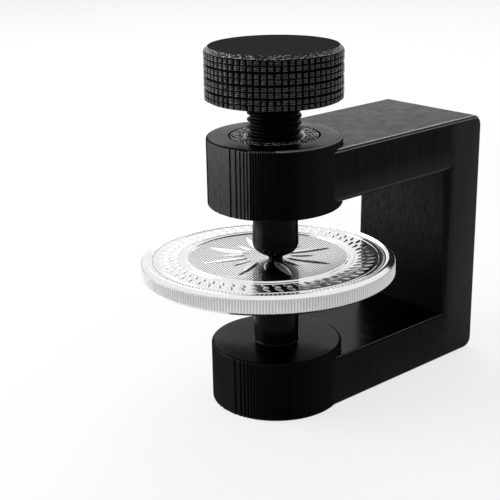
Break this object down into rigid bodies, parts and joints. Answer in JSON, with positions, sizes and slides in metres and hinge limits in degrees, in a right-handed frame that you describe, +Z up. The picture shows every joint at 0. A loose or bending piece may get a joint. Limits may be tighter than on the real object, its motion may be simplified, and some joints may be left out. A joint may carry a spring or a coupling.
{
  "type": "coin ping clamp",
  "caption": "Small printed C-clamp whose knurled thumb screw pinches a silver coin at its middle between two points, so that it can ring when struck.",
  "frame": {"origin": "on the clamp axis, at the flat base of the frame", "axes": "+X from the clamp axis towards the spine, +Y across the frame's thickness, +Z up along the screw"},
  "size_m": [0.0561, 0.0386, 0.0546],
  "materials": {
    "printed_black": "3D-printed black, satin, with fine layer lines",
    "speckled_grey": "rough speckled grey print",
    "glossy_black": "smooth and glossy",
    "coin_silver": "mint silver, mirror field with frosted relief",
    "screw_black": "satin black thread",
    "knob_black": "satin black with a smooth top"
  },
  "bodies": {
    "frame": {"c_frame": "printed_black", "threaded_bush": "speckled_grey", "lower_point": "glossy_black"},
    "screw_point": {"upper_point": "glossy_black"},
    "thumb_screw": {"clamp_screw": "screw_black", "knob": "knob_black"},
    "coin": {"coin": "coin_silver"}
  },
  "joints": [
    {"name": "screw_lift", "type": "slide", "parent": "frame", "child": "screw_point", "axis": [0, 0, 1], "range_m": [0, 0.006]},
    {"name": "screw_turn", "type": "hinge", "parent": "screw_point", "child": "thumb_screw", "pos_m": [0, 0, 0.045], "axis": [0, 0, 1], "range_deg": [0, 2160]},
    {"name": "coin_spin", "type": "hinge", "parent": "frame", "child": "coin", "pos_m": [0, 0, 0.02125], "axis": [0, 0, 1], "continuous": true}
  ],
  "couplings": [
    {"joint": "screw_turn", "follows": "screw_lift", "rad_per_m": 6283.2}
  ]
}
